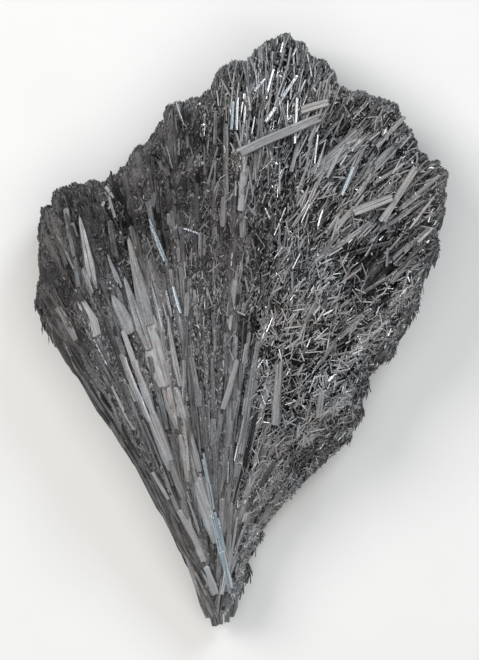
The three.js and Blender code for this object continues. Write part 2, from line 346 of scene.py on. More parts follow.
# The heights are worked out once, on a square grid of points. Long ridges and grooves run with the growth.
map_step = 0.25
map_x = np.arange(-36, 36, map_step)
map_y = np.arange(-49, 49, map_step)
grid_x, grid_y = np.meshgrid(map_x, map_y, indexing="ij")
left_edge = point_at(0.0, np.linspace(0, 0.96, 24))
outline = np.vstack([point_at(1.0, 0.0), root_tip, left_edge, rim_line])
edge_map = np.full(grid_x.shape, 1e9)
inside = np.zeros(grid_x.shape, bool)
for (ax, ay), (bx, by) in zip(outline, np.roll(outline, -1, axis=0)):
    dx, dy = bx - ax, by - ay
    s = np.clip(((grid_x - ax) * dx + (grid_y - ay) * dy) / (dx * dx + dy * dy + 1e-12), 0, 1)
    edge_map = np.minimum(edge_map, np.hypot(grid_x - ax - s * dx, grid_y - ay - s * dy))
    crosses = (ay > grid_y) != (by > grid_y)
    inside ^= crosses & (grid_x < ax + (grid_y - ay) * dx / (dy if abs(dy) > 1e-9 else 1e-9))
edge_map = np.where(inside, edge_map, 0)
crest_map = crest_height(grid_x, grid_y)
rise = quarter(edge_map / bevel_width(grid_x, grid_y)) ** 0.9
relief_map = np.zeros(grid_x.shape)
rng = np.random.default_rng(3)
ridge_count = 420
for u, t, long, wide, high in zip(
    rng.uniform(0, 1, ridge_count), np.sqrt(rng.uniform(0.04, 1, ridge_count)),
    rng.uniform(3, 9, ridge_count), rng.uniform(0.4, 1.3, ridge_count), rng.normal(0, 0.4, ridge_count),
):
    cx, cy = point_at(u, t)
    lean = np.degrees(heading_at(u, t)[0])
    relief_map += hollow(grid_x, grid_y, cx, cy, lean, long, wide * (0.4 + 0.6 * t), high)
relief_map = np.clip(relief_map, -1.2, 1.2) * smooth(0.5, 3, edge_map)
even_map = mix(crest_map * waist_share, crest_map, rise)
top_map = even_map + relief_map - 1.4 * pocket_at(grid_x, grid_y) * rise
low_map = crest_map * waist_share * (1 - quarter(edge_map / foot_width))


def sample(chart, x, y):
    """A map's value at a place, from the four grid points round it."""
    i = np.clip((x - map_x[0]) / map_step, 0, len(map_x) - 1.001)
    j = np.clip((y - map_y[0]) / map_step, 0, len(map_y) - 1.001)
    i0, j0 = i.astype(int), j.astype(int)
    fi, fj = i - i0, j - j0
    near = mix(chart[i0, j0], chart[i0 + 1, j0], fi)
    return mix(near, mix(chart[i0, j0 + 1], chart[i0 + 1, j0 + 1], fi), fj)


def slope(chart, x, y, heading, reach):
    """A map's rise per millimetre along a heading, over the reach to both sides."""
    dx, dy = np.sin(heading) * reach, np.cos(heading) * reach
    return (sample(chart, x + dx, y + dy) - sample(chart, x - dx, y - dy)) / (2 * reach)


def edge_distance(x, y):
    return sample(edge_map, x, y)


def blot(x, y, cx, cy, wide, high):
    """1 in the middle of an oval place on the fan, falling to 0 round it."""
    return np.exp(-(((x - cx) / wide) ** 2) - ((y - cy) / high) ** 2)


def right_of_ridge(x, y, lean=0.09):
    """How far a place is to the right of the ridge, which leans to the right on its way up."""
    return x - root_tip[0] - lean * (y + 45)


def film_at(x, y):
    """How tarnished the open face is: most on the upper left, in the middle and down the left edge."""
    film = 0.4 + 0.5 * blot(x, y, -12, 22, 11, 10) + 0.3 * blot(x, y, -1, 10, 8, 11)
    film += 0.4 * blot(x, y, -28, 8, 6, 18) - 0.22 * blot(x, y, 4, 36, 9, 9)
    return np.clip(film, 0, 1)


def bare_at(x, y):
    """The long hollow on the right, where few crystals cross."""
    return hollow(x, y, 19.8, 8.2, 40, 6.5, 3.4, 0.9)


# Where the film is thick the surface is lumpy.
lump_width = 17  # in steps of the map
lump_map = np.random.default_rng(4).normal(0, 1, grid_x.shape)
for axis in (0, 1):
    lump_map = blurred(lump_map, np.hanning(lump_width), "same", axis)
lump_map *= smooth(0.3, 0.75, film_at(grid_x, grid_y)) * smooth(0.5, 3, edge_map) / lump_map.std()
top_map += 0.5 * lump_map


def loose_lath(node):
    """A loose lath's solid: its corners, its middle and its length's, width's and depth's directions."""
    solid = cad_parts[node]
    corners = np.array([solid.matrix_world @ v.co for v in solid.data.vertices]) * 1000
    centre = (corners.min(0) + corners.max(0)) / 2
    return corners, centre, np.linalg.svd(corners - corners.mean(0))[2]


# Crystals are heaped up under each loose lath, which rests on them.
bed_depth = 1.0  # from the lath's middle down to the heap
for node in [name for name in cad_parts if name.endswith("_lath")]:
    corners, centre, ways = loose_lath(node)
    level_part = np.hypot(*ways[0][:2])
    flat_way = ways[0][:2] / level_part
    half_length = np.ptp((corners[:, :2] - centre[:2]) @ flat_way) / 2
    along = (grid_x - centre[0]) * flat_way[0] + (grid_y - centre[1]) * flat_way[1]
    across = (grid_x - centre[0]) * flat_way[1] - (grid_y - centre[1]) * flat_way[0]
    bed = centre[2] + np.clip(along, -half_length, half_length) * ways[0][2] / level_part - bed_depth
    near = smooth(2.8, 0.5, np.hypot(np.maximum(np.abs(along) - half_length + 0.6, 0), across))
    top_map = mix(top_map, np.maximum(top_map, bed), near)


# Lighter and darker oval places on the open face: how much, where, and how wide and high. The darker ones
# down the left edge and on the low right flank are painted shade on the sides that slope away.
shades = (
    (0.1, -4, -30, 4, 12), (0.2, -10, 0, 5, 9), (-0.12, -28, 8, 7, 18), (-0.06, -13, 24, 10, 9),
    (-0.08, -14, 4, 6, 12), (-0.06, -14, -22, 4, 9), (-0.12, 10, -19, 7, 5),
)


def shade_at(x, y):
    """How much lighter or darker the crystals are there than elsewhere: the oval places, a lighter band
    along the right of the rim, painted light on the ridges and lumps, and painted shade in the grooves,
    the two hollows and the pockets.
    """
    shade = sum(amount * blot(x, y, *place) for amount, *place in shades)
    shade -= hollow(x, y, 19.8, 8.2, 40, 6, 3.4, 0.3) + hollow(x, y, 15, 30, 60, 4, 1.2, 0.15)
    shade += 0.1 * smooth(5, 0, edge_distance(x, y)) * smooth(10, 20, x)
    return shade + 0.16 * sample(relief_map, x, y) + 0.09 * sample(lump_map, x, y) - 0.3 * pocket_at(x, y)


# ---- The mesh of many crystals ----
# A crystal is a long prism with a flattened section that narrows to its ends. Thousands of like ones
# make one mesh, and each hands its tone, film and grain on to the finish.
def join_mesh(name, points, quads, triangles, tone, film, grain):
    """A piece made of flat faces. Each point has a tone, a film and a grain."""
    mesh = bpy.data.meshes.new(name)
    mesh.vertices.add(len(points))
    mesh.vertices.foreach_set("co", (points * 0.001).astype(np.float32).ravel())
    corners = np.concatenate([quads.ravel(), triangles.ravel()]).astype(np.int32)
    sizes = np.repeat((4, 3), (len(quads), len(triangles))).astype(np.int32)
    mesh.loops.add(len(corners))
    mesh.loops.foreach_set("vertex_index", corners)
    mesh.polygons.add(len(sizes))
    mesh.polygons.foreach_set("loop_start", (np.cumsum(sizes) - sizes).astype(np.int32))
    mesh.polygons.foreach_set("loop_total", sizes)
    mesh.update(calc_edges=True)
    for label, kind, key, values in (
        ("tone", "FLOAT", "value", tone), ("film", "FLOAT", "value", film),
        ("grain", "FLOAT_VECTOR", "vector", grain),
    ):
        attribute = mesh.attributes.new(label, kind, "POINT")
        attribute.data.foreach_set(key, values.astype(np.float32).ravel())
    mesh.shade_flat()
    mesh.materials.append(stibnite.material)
    piece = bpy.data.objects.new(name, mesh)
    scene.collection.objects.link(piece)
    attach(piece, "root")
    return piece


def unit(v):
    return v / np.linalg.norm(v, axis=-1, keepdims=True)


# Sections. A splinter is two three-sided points, a needle one four-sided prism, and a flat lath has three
# stretches and a groove along its top.
splinter = np.array([(-1, -0.5), (0.9, -0.7), (0.1, 1)])
needle = np.array([(-1, 0.1), (0.1, -1), (1, -0.1), (-0.1, 1)])
flat_lath = np.array([
    (-1, 0.1), (-0.62, -1), (0.6, -1), (1, -0.1), (0.7, 0.9), (0.1, 1), (-0.1, 0.62), (-0.7, 0.86),
])
table_gap = 0.03  # no crystal reaches lower than this


def crystals(name, start, along, length, width, thick, roll, tone, film, section, seed,
             ends=(0.45, 0.35), waist=0.9):
    """Joined prisms. start and along are (n, 3); roll turns each about its own length.

    ends and waist are the girths at the foot, at the head and at a lath's last bend.
    """
    rng = np.random.default_rng(seed)
    uneven, swell, bend = 0.25, 0.18, 0.012  # of the section, of the girth and of the length
    n, k = len(start), len(section)
    level = unit(np.cross(along, (0, 0, 1.0)))
    up = np.cross(level, along)
    across = level * np.cos(roll)[:, None] + up * np.sin(roll)[:, None]
    up = np.cross(across, along)
    shape = section[None] * (1 + uneven * rng.uniform(-1, 1, (n, k, 1))) * 0.5
    shares = np.array({3: (0.45,), 4: (0, 1), 8: (0, 0.3, 0.82, 1)}[k])
    girths = np.array({3: (1,), 4: ends, 8: (ends[0], 1, waist, ends[1])}[k])
    m = len(shares)
    girth = girths[None, :] * (1 + swell * rng.uniform(-1, 1, (n, m)))
    bow = (rng.normal(0, bend, n) * length)[:, None] * (4 * shares * (1 - shares))[None]
    spine = start[:, None] + along[:, None] * (length[:, None] * shares)[..., None]
    spine = spine + across[:, None] * bow[..., None]
    wide = shape[:, None, :, 0] * width[:, None, None] * girth[..., None]
    deep = shape[:, None, :, 1] * thick[:, None, None] * girth[..., None]
    ring = spine[:, :, None] + across[:, None, None] * wide[..., None] + up[:, None, None] * deep[..., None]
    foot = spine[:, 0] - along * (0.1 * width)[:, None] if k > 3 else start
    head = spine[:, -1] + along * (0.25 * width)[:, None] if k > 3 else start + along * length[:, None]
    caps = np.stack([foot, head], 1)
    points = np.concatenate([ring.reshape(n, m * k, 3), caps], axis=1)
    points[..., 2] += np.maximum(table_gap - points[..., 2].min(axis=1), 0)[:, None]
    points = points.reshape(-1, 3)
    each = m * k + 2
    ids = np.arange(k)
    nxt = (ids + 1) % k
    last = (m - 1) * k
    sides = [np.stack([j + ids, j + nxt, j + k + nxt, j + k + ids], 1) for j in range(0, last, k)]
    quads = np.concatenate([np.zeros((0, 4), int), *sides])
    foot_fan = np.stack([nxt, ids, np.full(k, m * k)], 1)
    head_fan = np.stack([last + ids, last + nxt, np.full(k, m * k + 1)], 1)
    fans = np.concatenate([foot_fan, head_fan])
    offset = (np.arange(n) * each)[:, None, None]
    number = rng.uniform(0, 400, n)
    sideways = np.concatenate([wide.reshape(n, m * k), np.zeros((n, 2))], 1)
    lengthways = np.concatenate([np.repeat(shares, k), (0, 1)])[None] * length[:, None]
    grain = np.stack([sideways, lengthways, np.repeat(number[:, None], each, 1)], -1).reshape(-1, 3)
    quads = (quads + offset).reshape(-1, 4)
    fans = (fans + offset).reshape(-1, 3)
    return join_mesh(name, points, quads, fans, np.repeat(tone, each), np.repeat(film, each), grain)


def drawn(rng, limits, count):
    """Sizes between two limits, spread evenly in proportion."""
    return np.exp(rng.uniform(np.log(limits[0]), np.log(limits[1]), count))


def lay(name, seed, count, where, t_range, spread, length, width, tone, u_range=(0, 1), flat=(0.5, 0.9),
        film_add=0.0, lift=0.0, relief=0.45, pitch=(2, 14), twist=10.0, roll=45.0,
        section=splinter, ends=(0.75, 0.65), over=0.0, glints=0.07):
    """Crystals that lie along the growth on the open face.

    where(x, y) is the share kept. u_range is the part of the rim they grow to, t_range how far out they
    are, and over how far past the rim they may reach. spread, pitch, twist and roll are in degrees. tone
    and pitch give a mean and a spread, flat the thickness as a share of the width, glints the share of
    fresh ones, and lift and relief the height over the surface and its spread.
    """
    rng = np.random.default_rng(seed)
    u = rng.uniform(*u_range, count)
    t = np.sqrt(rng.uniform(t_range[0] ** 2, t_range[1] ** 2, count))
    long = drawn(rng, length, count)
    heading, path = heading_at(u, t)
    long = np.minimum(long, 0.75 * path)
    t = np.minimum(t, 1 + (rng.uniform(-0.5, over, count) - long / 2) / path)
    t = np.maximum(t, (long / 2 - rng.uniform(0, 1.2, count)) / path)
    heading = heading_at(u, t)[0]
    x, y = point_at(u, t).T
    keep = (rng.random(count) < where(x, y)) & (t > 0.01)
    t, long, heading, x, y = (v[keep] for v in (t, long, heading, x, y))
    n = len(x)
    long = long * mix(0.45, 1, smooth(0.5, 4, edge_distance(x, y)))
    radial = np.degrees(np.arctan2(x - root_tip[0], y - root_tip[1]))
    turn = twist * smooth(7, 17, radial) * smooth(0.3, 0.6, t)
    heading = heading + np.radians(turn + rng.normal(0, spread, n))
    rise = np.clip(slope(top_map, x, y, heading, 1.0), -0.5, 0.6)
    rise = rise + np.tan(np.radians(rng.normal(*pitch, n)))
    along = unit(np.stack([np.sin(heading), np.cos(heading), rise], -1))
    wide = drawn(rng, width, n) * np.clip(long / np.median(long), 0.6, 1.3)
    thick = wide * rng.uniform(*flat, n)
    layer = rng.uniform(-1, 1, n)
    z = sample(top_map, x, y) + lift + relief * layer * np.minimum(1, long / 3)
    start = np.stack([x, y, z], -1) - along * (long / 2)[:, None]
    lean = np.arctan(slope(top_map, x, y, heading + np.pi / 2, 0.8))
    turned = np.clip(lean, -0.9, 0.9) + np.radians(rng.normal(0, roll, n))
    film = film_at(x, y) + film_add + rng.normal(0, 0.1, n) - 0.55 * (rng.random(n) < glints)
    film = np.clip(film, 0, 1)
    # Lower crystals are painted darker, as painted shade deep in the heap, and shade_at adds its painted
    # light and shade.
    shade = np.clip(rng.normal(*tone, n) + 0.14 * layer + shade_at(x, y), 0, 1)
    return crystals(name, start, along, long, wide, thick, turned, shade, film, section, seed + 1, ends)


# ---- Grown-together body ----
# The mass of fine stibnite fibres under the open crystals, grooved along the growth. It is one closed
# mesh that fills the fan from the resting face up, a little inside the crystals that stand on it.
columns, rows = 300, 100
rng = np.random.default_rng(5)
u = np.linspace(0, 1, columns)[:, None] + np.zeros((1, rows))
t = np.linspace(0, 1, rows)[None, :] ** 0.92 + np.zeros((columns, 1))
u[1:-1] += rng.uniform(-0.3, 0.3, (columns - 2, 1)) / columns
fibres = rng.normal(0, 1, (columns, rows + 40))
window = np.hanning(21) / np.hanning(21).sum()
fibres = blurred(fibres, window, "valid", 1)[:, :rows]
fibres = fibres / fibres.std() + 0.8 * np.repeat(rng.normal(0, 1, (columns // 4, 1)), 4, 0)
path_length = heading_at(u[:, 0], np.ones(columns))[1]
pulled = 1 - (0.9 + 0.5 * rng.random(columns)) / path_length
xy = point_at(u, t * mix(1, pulled[:, None], smooth(0.5, 1, t)))
body_x, body_y = xy[..., 0], xy[..., 1]
settled = smooth(0, 2.0, sample(edge_map, body_x, body_y)) * smooth(0.02, 0.3, t)
# To the right of the ridge and on the crown the open crystals stand higher over the body.
right_side = smooth(-1, 3, right_of_ridge(body_x, body_y, 0.07))
right_side = np.maximum(right_side, blot(body_x, body_y, 3, 35, 7, 9))
right_side = right_side * (1 - 0.7 * blot(body_x, body_y, 0, 11, 8, 12))
body_top = sample(top_map, body_x, body_y) - mix(0.16, 1.2, right_side * settled)
body_top = body_top + 0.2 * fibres * settled
body_gap = 0.5  # the body stays this far over the table
body_low = np.maximum(sample(low_map, body_x, body_y) + 0.75 - 0.15 * fibres * settled, body_gap)
body_low = np.minimum(body_low, body_top - 0.05)
top_points = np.stack([body_x, body_y, body_top], -1).reshape(-1, 3)
low_points = np.stack([body_x, body_y, body_low], -1).reshape(-1, 3)
number = (np.arange(columns)[:-1, None] * rows + np.arange(rows - 1)[None]).ravel()
top_quads = np.stack([number, number + rows, number + rows + 1, number + 1], 1)
shift = columns * rows
low_quads = top_quads[:, ::-1] + shift
walls = []
for line in (
    np.arange(rows), (columns - 1) * rows + np.arange(rows)[::-1],
    np.arange(columns)[::-1] * rows, np.arange(columns) * rows + rows - 1,
):
    walls.append(np.stack([line[:-1], line[1:], line[1:] + shift, line[:-1] + shift], 1))
body_quads = np.concatenate([top_quads, low_quads, *walls])
body_points = np.concatenate([top_points, low_points])
# The body is painted nearly black to the right of the ridge and on the crown, where it lies deep under the
# open crystals: painted shade in the gaps between them. It takes half of shade_at's painted light and shade,
# and is lighter where its fibres stand higher and in the long bare hollow.
body_tone = mix(0.38, 0.04, right_side) + 0.09 * fibres + 0.5 * shade_at(body_x, body_y)
body_tone = np.clip(body_tone + 0.4 * bare_at(body_x, body_y), 0, 1)
body_tone = np.tile(body_tone.ravel(), 2)
body_film = np.clip(np.tile(film_at(body_x, body_y).ravel(), 2) + 0.3, 0, 1)
body = join_mesh(
    "grown_together_body", body_points, body_quads, np.zeros((0, 3), int), body_tone, body_film,
    body_points * (0.9, 0.9, 1.0),
)
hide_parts("crystal_spray")

# ---- Root and left lobe ----
# The oldest and coarsest crystals: long flattened laths side by side, spreading from the blunt root up
# through the left half. They are grown on to the body, and fine dull fibres fill the grooves between.
def on_left(x, y):
    return smooth(2.5, -0.5, right_of_ridge(x, y)) * (1 - 0.8 * blot(x, y, -11, 24, 9, 9))


root_laths = lay(
    "root_laths", seed=11, count=300, where=lambda x, y: 1, t_range=(0.03, 0.4), spread=1.5, length=(6, 20),
    width=(0.3, 0.95), flat=(0.35, 0.55), tone=(0.48, 0.26), lift=-0.15, pitch=(0, 0.6), twist=0, roll=12,
    section=flat_lath, ends=(0.7, 0.8), relief=0.12,
)
lobe_laths = lay(
    "lobe_laths", seed=13, count=340, where=on_left, u_range=(0, 0.45), t_range=(0.2, 0.95), spread=3.5,
    length=(3, 12), width=(0.35, 1), flat=(0.35, 0.55), tone=(0.42, 0.13), lift=-0.27, pitch=(0.3, 1.5),
    roll=14, section=flat_lath, ends=(0.85, 0.8), relief=0.15,
)
lobe_splinters = lay(
    "lobe_splinters", seed=15, count=24000, where=on_left, u_range=(0, 0.48), t_range=(0.08, 1), spread=30,
    length=(0.3, 1.2), width=(0.14, 0.32), flat=(0.6, 1), tone=(0.4, 0.14), film_add=0.15, lift=-0.08,
    pitch=(0, 4), glints=0.04, relief=0.1,
)


def strands(name, seed, rows, film, lift, piece_length=7.0, strand_width=0.8, tip=0.88, vary=0.05,
            climb=0.0):
    """Flat laths laid one by one, each split into strands side by side and broken across here and there.

    A row gives a lath's foot and head, its width and its tone. Each piece narrows to tip times its width,
    and a long lath's head ends higher than its foot by climb.
    """
    rng = np.random.default_rng(seed)
    crack = 0.03
    parts = []
    for foot_x, foot_y, head_x, head_y, width, tone in rows:
        foot, head = np.array((foot_x, foot_y)), np.array((head_x, head_y))
        reach = np.linalg.norm(head - foot)
        way = (head - foot) / reach
        side = np.array((way[1], -way[0]))
        many = max(1, round(width / strand_width))
        for k in range(many):
            offset = (k - (many - 1) / 2) * width / many
            breaks = max(1, round(reach / piece_length + rng.uniform(-0.5, 0.5)))
            inner = (np.arange(1, breaks) + rng.uniform(-0.35, 0.35, breaks - 1)) / breaks
            cuts = [rng.uniform(0, 1.2) / reach, *inner, 1 - rng.uniform(0, 1.2) / reach]
            level = 0.07 * (k % 2)
            for low, high in zip(cuts[:-1], cuts[1:]):
                ends = []
                for at in (low, high - crack / reach):
                    x, y = foot + way * reach * at + side * offset
                    z = sample(even_map, x, y) + lift + climb * min(1, reach / 6) * at + level
                    ends.append((x, y, z + rng.normal(0, 0.03)))
                parts.append((*ends, width / many * rng.uniform(1.1, 1.3), tone + rng.normal(0, vary)))
    feet, heads = (np.array([part[k] for part in parts]) for k in (0, 1))
    wide = np.array([part[2] for part in parts])
    length = np.linalg.norm(heads - feet, axis=1)
    along = (heads - feet) / length[:, None]
    count = len(parts)
    films = np.clip(film + rng.normal(0, 0.06, count), -0.5, 1)
    shade = np.clip([part[3] for part in parts], 0, 1)
    thick = np.minimum(wide * rng.uniform(0.6, 1.0, count), 0.7)
    roll = np.radians(rng.normal(0, 7, count))
    ends = (min(0.85, 0.4 + tip), tip)
    return crystals(
        name, feet, along, length, wide, thick, roll, shade, films, flat_lath, seed + 1, ends,
        waist=mix(1, tip, 0.6),
    )


great_laths = strands("great_laths", 17, (
    (-6.7, -21.3, -10.4, -8.1, 1.9, 0.88), (-2.2, -36, -6.7, -21.3, 1.2, 0.86),
    (-3.6, -32, -8.9, -17.5, 1.1, 0.8), (-10.7, -25.9, -13.3, -21.3, 0.6, 0.82),
    (-5.5, -35.4, -9.6, -26.5, 0.9, 0.84), (-3.8, -40.3, -5.5, -35.4, 0.8, 0.8),
    (-2.9, -12, -0.6, -4, 0.9, 0.52), (-3.8, -17.2, -2.9, -12, 0.8, 0.5),
    (-8.5, -25.6, -17.6, 0, 1, 0.7), (-18.2, -14.3, -19.7, -9.4, 0.45, 0.55),
    (-24, 6, -26.2, 19, 0.9, 0.5), (-12.5, 12, -14, 20, 0.6, 0.5),
    (-2.4, -40.5, -1.6, -26, 0.8, 0.52), (-6.2, -12, -7.6, -3, 0.8, 0.48),
    (-13.9, -14, -18, -3, 0.7, 0.55), (-5, -40.5, -9, -31.5, 0.8, 0.66),
    (-8.8, -12, -8, 6, 0.7, 0.5), (-4.1, -45.7, -5.6, -38, 1, 0.5),
    (-3.2, -46.2, -3.7, -38.5, 1, 0.55), (-2.3, -45.8, -1.9, -38.5, 0.9, 0.5),
    (-4.9, -44.6, -7.4, -37, 0.9, 0.45), (-1.6, -44.9, -0.8, -38.5, 0.8, 0.45),
), 0.32, lift=0.32)
spear_laths = strands("spear_laths", 16, (
    (-9, -15, -12.4, -3.4, 1.7, 0.62), (-11, -8.4, -14.6, 4.4, 2.6, 0.6),
    (-13.4, 0.6, -16.8, 13.8, 2, 0.6), (-13.6, -3, -17.4, 8, 1.6, 0.54),
    (-16, -1.2, -19.4, 5.6, 1.8, 0.64), (-21.1, -1.9, -24.9, 6.4, 1.6, 0.78),
    (-21.8, 6, -24.2, 17.6, 1.4, 0.46), (-17.4, 5.5, -20.2, 12, 0.8, 0.52),
    (-8.2, -3, -10.2, 5, 0.8, 0.5), (-24.4, 8, -26.6, 14, 0.6, 0.45),
    (-10.6, -6, -13.4, 7, 0.8, 0.58), (-8.9, -9, -10.9, 2, 0.9, 0.6),
    (-26.4, 0.5, -28.6, 8, 0.7, 0.5),
), 0.31, lift=0.22, strand_width=4, piece_length=40, tip=0.25)
fresh_laths = strands("fresh_laths", 19, (
    (-10.7, -21, -17.4, -3.7, 0.8, 0.85), (-15.5, -15.5, -19.7, -7.4, 0.5, 0.8),
    (-18.8, 19.1, -20.6, 21.9, 0.55, 0.95), (-6.3, -30.5, -8.4, -24.5, 0.35, 0.8),
    (-10.2, 1.5, -11.2, 6, 0.4, 0.85),
), 0.18, lift=0.34, tip=0.6)
# A film below 0 gives these laths the painted blue-white sheen, a painted reflection.
painted_sheen_laths = strands("painted_sheen_laths", 18, (
    (-1.5, -40.3, -3, -33.5, 0.8, 0.85), (-2.7, -34.5, -4.2, -27.3, 1.3, 0.95),
    (-4.2, -27.3, -5.8, -18.4, 0.6, 0.85), (-2.2, -24, -2, -19, 0.35, 0.75),
    (-1, -42.5, -1.5, -39.5, 0.6, 0.85), (-11.2, 10, -13.8, 16.4, 0.6, 0.45),
    (14.6, 19.4, 17, 25.2, 0.45, 0.6), (-1.5, 29.4, -1.1, 34.8, 0.5, 0.65),
    (-8.8, 2, -10.1, 6.5, 0.35, 0.85),
), -0.24, lift=0.9, strand_width=0.35, piece_length=4)

# ---- Crown ----
# Steep, fine needles at the top of the fan, close together, with a few longer ones over them. They grew
# last, on to the body's end, and their faces are the freshest.
def on_crown(x, y):
    return np.clip(1.4 * blot(x, y, 3.5, 35, 8, 11), 0, 1)


# The low splinters are painted nearly black: painted shade in the gaps under the needles.
crown_splinters = lay(
    "crown_splinters", seed=20, count=9000, where=on_crown, u_range=(0.2, 0.62), t_range=(0.55, 1),
    spread=14, length=(0.8, 3.5), width=(0.2, 0.45), tone=(0.1, 0.18), lift=-0.5, pitch=(3, 9), twist=4,
    glints=0.2,
)
crown_needles = lay(
    "crown_needles", seed=21, count=1700, where=on_crown, u_range=(0.22, 0.6), t_range=(0.6, 1), spread=11,
    length=(1.6, 6), width=(0.2, 0.45), tone=(0.5, 0.18), lift=0.2, pitch=(3, 7), twist=4, roll=40,
    section=needle, glints=0.2,
)
crown_laths = lay(
    "crown_laths", seed=23, count=150, where=on_crown, u_range=(0.22, 0.6), t_range=(0.6, 0.97), spread=10,
    length=(2.5, 7), width=(0.3, 0.6), flat=(0.4, 0.7), tone=(0.56, 0.16), lift=0.3, pitch=(2, 4), twist=4,
    roll=25, section=flat_lath, ends=(0.8, 0.7), glints=0.2,
)

# ---- Upper right ----
# Coarse parallel laths that leave the axis at a wide angle, with dark gaps and finer needles between. All
# are grown on to the body, and broken chips lie in the gaps here and on the crown.
def on_right(x, y):
    return smooth(3, 9, x - 0.1 * y) * smooth(-6, 5, y + 0.3 * x - 6) * (1 - bare_at(x, y))


def on_right_or_crown(x, y):
    return np.maximum(on_right(x, y), on_crown(x, y))


broad_laths = strands("broad_laths", 29, (
    (10, 22.3, 18.3, 29.8, 2, 0.6), (15, 20.6, 18.3, 27.8, 0.8, 0.6),
    (18.3, 27.8, 20.7, 29.8, 0.7, 0.55), (18.3, 17.8, 23.7, 20, 0.75, 0.66),
    (23.7, 20, 27.3, 26.5, 0.7, 0.64), (10, 9.6, 20, 16.4, 0.75, 0.62),
    (12.5, 14, 17, 20.5, 0.6, 0.5), (7.5, 15, 11.5, 21, 0.7, 0.5),
    (20, 14.5, 27.5, 19.5, 0.7, 0.55), (19, 23.5, 24.5, 29, 1.2, 0.55),
    (14, 3, 22, 8, 0.5, 0.55), (22, 9.5, 28, 15.5, 0.7, 0.5),
), 0.36, lift=0.12, strand_width=0.2, vary=0.18, piece_length=4)
open_chips = lay(
    "open_chips", seed=35, count=9000, where=on_right_or_crown, u_range=(0.22, 0.9), t_range=(0.35, 1),
    spread=75, length=(0.4, 1.3), width=(0.16, 0.38), tone=(0.46, 0.24), lift=0.15, pitch=(0, 15), roll=60,
    glints=0.15,
)
bright_slivers = strands("bright_slivers", 28, (
    (5.6, 29.8, 9.3, 33.5, 0.19, 0.9), (1.5, 34.8, 4.1, 38, 0.34, 0.8),
    (3.5, 33.8, 4.8, 38.8, 0.31, 0.95), (21, 20.3, 23.5, 20.4, 0.22, 0.9),
    (27.3, 23.9, 28.8, 23.9, 0.25, 0.98), (11, 36.6, 11.6, 38.4, 0.31, 1),
    (-0.7, 28.9, -0.5, 34.6, 0.31, 0.9), (0.3, 29.5, 0.6, 33.8, 0.25, 0.9),
    (-1.3, 29.5, -1.7, 33, 0.22, 0.8), (-2.3, 25.4, -2.7, 28.4, 0.25, 0.9),
    (1.4, 28.6, 2, 31.8, 0.19, 0.85), (2.4, 38.4, 2.9, 41, 0.25, 0.85),
    (5.6, 40.5, 6.3, 43.4, 0.25, 0.9), (7.4, 40.2, 8.6, 43, 0.25, 0.9),
    (8.8, 15.8, 10.5, 19.5, 0.19, 0.8), (5, 36.6, 5.7, 39.8, 0.22, 0.85),
    (6.5, 26.2, 6.9, 27.8, 0.22, 0.95), (9.6, 32.6, 10.1, 33.6, 0.22, 1),
    (14.8, 16, 16.2, 18.2, 0.19, 0.8), (26.8, 12.2, 28.6, 14.2, 0.22, 0.9),
    (24.9, 5.2, 26.3, 6.6, 0.22, 0.9),
), 0.0, lift=0.45, strand_width=0.6, piece_length=12, climb=0.7)
# The low splinters are painted nearly black: painted shade in the gaps between the laths and needles.
right_splinters = lay(
    "right_splinters", seed=30, count=20000, where=on_right, u_range=(0.4, 0.9), t_range=(0.35, 1),
    spread=20, length=(0.8, 3.6), width=(0.2, 0.5), tone=(0.14, 0.18), lift=-0.5, pitch=(2, 9), glints=0.12,
)
right_laths = lay(
    "right_laths", seed=31, count=330, where=on_right, u_range=(0.4, 0.85), t_range=(0.4, 1), spread=10,
    length=(2.5, 8), width=(0.3, 0.65), flat=(0.3, 0.6), tone=(0.52, 0.13), pitch=(1, 3), roll=18,
    section=flat_lath, ends=(0.85, 0.8), glints=0,
)
right_needles = lay(
    "right_needles", seed=33, count=3800, where=on_right, u_range=(0.4, 0.9), t_range=(0.35, 1), spread=23,
    length=(1.0, 3.8), width=(0.17, 0.42), tone=(0.52, 0.18), lift=0.05, pitch=(2, 8), roll=40,
    section=needle, glints=0.12,
)

# ---- Needle mat ----
# Short needles to the right of the ridge. They grew every way over each other and into each other, with
# dark pockets between, and leave the long hollow bare.
def on_mat(x, y):
    mat = blot(x, y, 13, -3, 9, 13) + smooth(0.1, 2.1, right_of_ridge(x, y)) * smooth(12, -4, y)
    return np.clip(mat, 0, 1) * np.clip(1 - 0.6 * pocket_at(x, y) - bare_at(x, y), 0, 1)


# The low splinters are painted nearly black: painted shade in the gaps under the needles.
mat_splinters = lay(
    "mat_splinters", seed=40, count=17000, where=on_mat, u_range=(0.42, 1), t_range=(0.15, 1), spread=60,
    length=(0.8, 2.6), width=(0.16, 0.32), tone=(0.06, 0.16), lift=-0.55, pitch=(2, 18), roll=40,
)
mat_needles = lay(
    "mat_needles", seed=41, count=7600, where=on_mat, u_range=(0.42, 1), t_range=(0.15, 1), spread=42,
    length=(0.8, 2.8), width=(0.17, 0.32), tone=(0.76, 0.24), film_add=-0.08, lift=0.15, roll=40,
    section=needle, glints=0.16,
)

# ---- Dull middle and crust ----
# The middle is matted with short dull needles. On the upper left small stubby crystals have grown
# together into a crust that tarnished dark and brownish.
def in_middle(x, y):
    return np.clip(1.3 * blot(x, y, 0, 11, 8.5, 13), 0, 1)


def on_crust(x, y):
    return np.clip(1.5 * blot(x, y, -12, 24, 9.5, 9), 0, 1)


